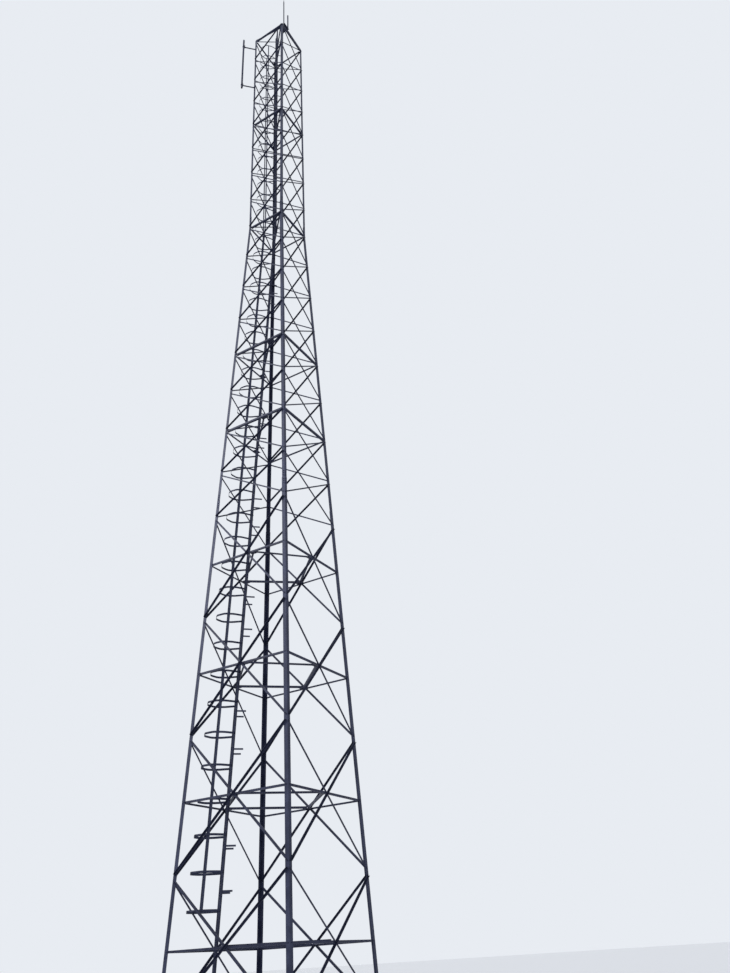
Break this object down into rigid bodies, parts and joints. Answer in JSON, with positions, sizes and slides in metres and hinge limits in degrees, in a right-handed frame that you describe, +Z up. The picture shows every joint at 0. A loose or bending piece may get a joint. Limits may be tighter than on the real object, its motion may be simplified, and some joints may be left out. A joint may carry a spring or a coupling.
{
  "type": "angle steel lattice tower",
  "caption": "Four-legged angle steel lattice tower with crossed bracing, an inside caged ladder, a peaked cap with a lightning rod, and an antenna pole on arms.",
  "frame": {"origin": "centre of the front left base plate's underside", "axes": "+Z up along the tower, +X to the right along the front face, +Y from the front face to the back face"},
  "size_m": [3.65, 3.65, 39.912],
  "materials": {
    "leg_steel": "weathered hot-dip galvanised, dull grey",
    "splice_steel": "weathered hot-dip galvanised, dull grey",
    "brace_steel": "weathered hot-dip galvanised, dull grey",
    "ladder_steel": "weathered hot-dip galvanised, dull grey",
    "cage_steel": "weathered hot-dip galvanised, dull grey",
    "foot_steel": "weathered hot-dip galvanised, dull grey",
    "cap_steel": "weathered hot-dip galvanised, dull grey",
    "pipe_steel": "weathered hot-dip galvanised, dull grey",
    "rod_steel": "weathered hot-dip galvanised, dull grey"
  },
  "bodies": {
    "root": {"antenna_arms": "pipe_steel", "antenna_pole": "pipe_steel", "bracing_back_lower": "brace_steel", "bracing_back_middle": "brace_steel", "bracing_back_upper": "brace_steel", "bracing_front_lower": "brace_steel", "bracing_front_middle": "brace_steel", "bracing_front_upper": "brace_steel", "bracing_left_lower": "brace_steel", "bracing_left_middle": "brace_steel", "bracing_left_upper": "brace_steel", "bracing_right_lower": "brace_steel", "bracing_right_middle": "brace_steel", "bracing_right_upper": "brace_steel", "cable_arms": "ladder_steel", "cage_hoops_lower": "cage_steel", "cage_hoops_middle": "cage_steel", "cage_hoops_upper": "cage_steel", "cage_straps_lower": "cage_steel", "cage_straps_middle": "cage_steel", "cage_straps_upper": "cage_steel", "cap_frame": "cap_steel", "foot_plates": "foot_steel", "ladder_beams": "brace_steel", "ladder_lower": "ladder_steel", "ladder_middle": "ladder_steel", "ladder_upper": "ladder_steel", "leg_back_left_lower": "leg_steel", "leg_back_left_middle": "leg_steel", "leg_back_left_upper": "leg_steel", "leg_back_right_lower": "leg_steel", "leg_back_right_middle": "leg_steel", "leg_back_right_upper": "leg_steel", "leg_front_left_lower": "leg_steel", "leg_front_left_middle": "leg_steel", "leg_front_left_upper": "leg_steel", "leg_front_right_lower": "leg_steel", "leg_front_right_middle": "leg_steel", "leg_front_right_upper": "leg_steel", "leg_splices": "splice_steel", "lightning_rod": "rod_steel", "plan_bracing": "brace_steel", "rod_socket": "pipe_steel", "stub_pipe": "pipe_steel"}
  },
  "joints": []
}
